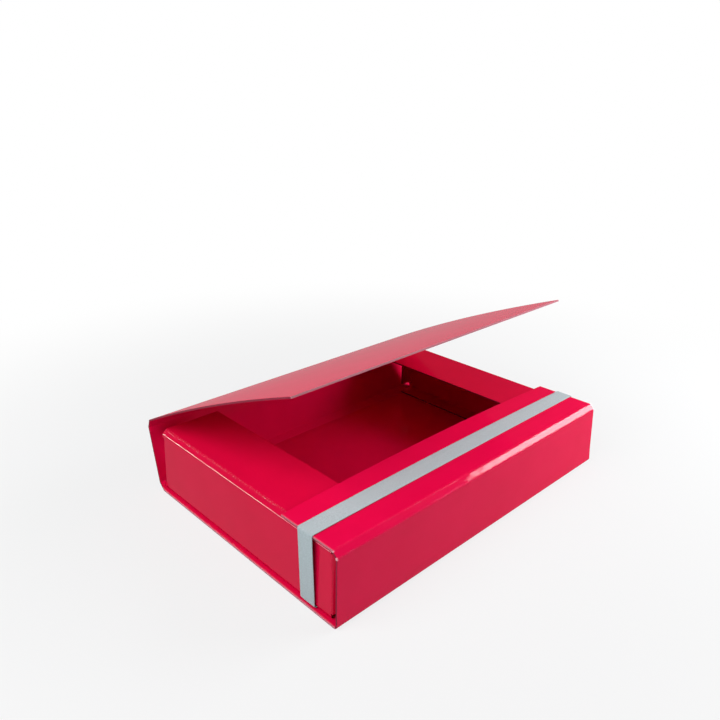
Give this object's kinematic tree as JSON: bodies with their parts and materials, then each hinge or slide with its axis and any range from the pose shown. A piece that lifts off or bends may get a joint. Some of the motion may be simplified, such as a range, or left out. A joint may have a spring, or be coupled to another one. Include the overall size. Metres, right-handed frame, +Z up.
{
  "type": "box file",
  "caption": "Document box folded from glossy laminated board, with a creased spine and lid, strips round its mouth and a flat elastic band.",
  "frame": {"origin": "middle of the base's underside, on the surface that the box lies on", "axes": "+X along the box's length, +Y from the front panel to the spine, +Z up"},
  "size_m": [0.3524, 0.2703, 0.1633],
  "materials": {
    "cover_board": "solid board under a glossy magenta-red film",
    "end_board": "solid board under a glossy magenta-red film",
    "elastic": "flat woven elastic, pale grey, matt"
  },
  "bodies": {
    "box": {"cover": "cover_board", "end_piece_left": "end_board", "end_piece_right": "end_board", "elastic_band": "elastic"},
    "spine": {"spine_panel": "cover_board"},
    "lid": {"lid_panel": "cover_board"}
  },
  "joints": [
    {"name": "spine_fold", "type": "hinge", "parent": "box", "child": "spine", "pos_m": [0, 0.1297, 0.00603], "axis": [1, 0, 0], "range_deg": [-66, 18.2]},
    {"name": "lid_fold", "type": "hinge", "parent": "spine", "child": "lid", "pos_m": [0, 0.14425, 0.06499], "axis": [1, 0, 0], "range_deg": [-90, 5.6]}
  ]
}
